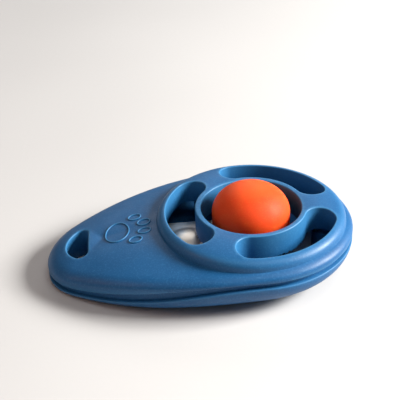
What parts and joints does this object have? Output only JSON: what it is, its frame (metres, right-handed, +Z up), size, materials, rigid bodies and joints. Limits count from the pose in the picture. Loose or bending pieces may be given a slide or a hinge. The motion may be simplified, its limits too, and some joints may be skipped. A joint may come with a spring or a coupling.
{
  "type": "dog training clicker",
  "caption": "Egg-shaped two-piece plastic clicker with a domed push button in a raised ring, arc-shaped sound slots, a dimpled spring-steel leaf inside and a D-shaped lanyard hole.",
  "frame": {"origin": "on the flat base, midway along and across the case", "axes": "+X to the round end that holds the button, +Z up out of the base, +Y across the case"},
  "size_m": [0.075, 0.0496, 0.0207],
  "materials": {
    "blue_plastic": "fine moulded grain, satin",
    "orange_plastic": "smooth, satin",
    "spring_steel": "bright rolled strip",
    "zinc_steel": "zinc plated"
  },
  "bodies": {
    "case": {"upper_shell": "blue_plastic", "lower_shell": "blue_plastic", "click_leaf_root": "spring_steel", "leaf_clamp": "zinc_steel", "clamp_screws": "zinc_steel", "case_screws": "zinc_steel", "tail_screw": "zinc_steel"},
    "button": {"button": "orange_plastic"},
    "leaf": {"click_leaf_blade": "spring_steel"}
  },
  "joints": [
    {"name": "button_press", "type": "slide", "parent": "case", "child": "button", "axis": [0, 0, -1], "range_m": [0, 0.002], "stiffness_N_per_m": 3000, "springref_m": -0.0002},
    {"name": "leaf_flex", "type": "hinge", "parent": "case", "child": "leaf", "pos_m": [-0.0085, 0, 0.00685], "axis": [0, 1, 0], "range_deg": [0, 5.5]}
  ],
  "couplings": [
    {"joint": "leaf_flex", "follows": "button_press", "rad_per_m": 46.95}
  ]
}
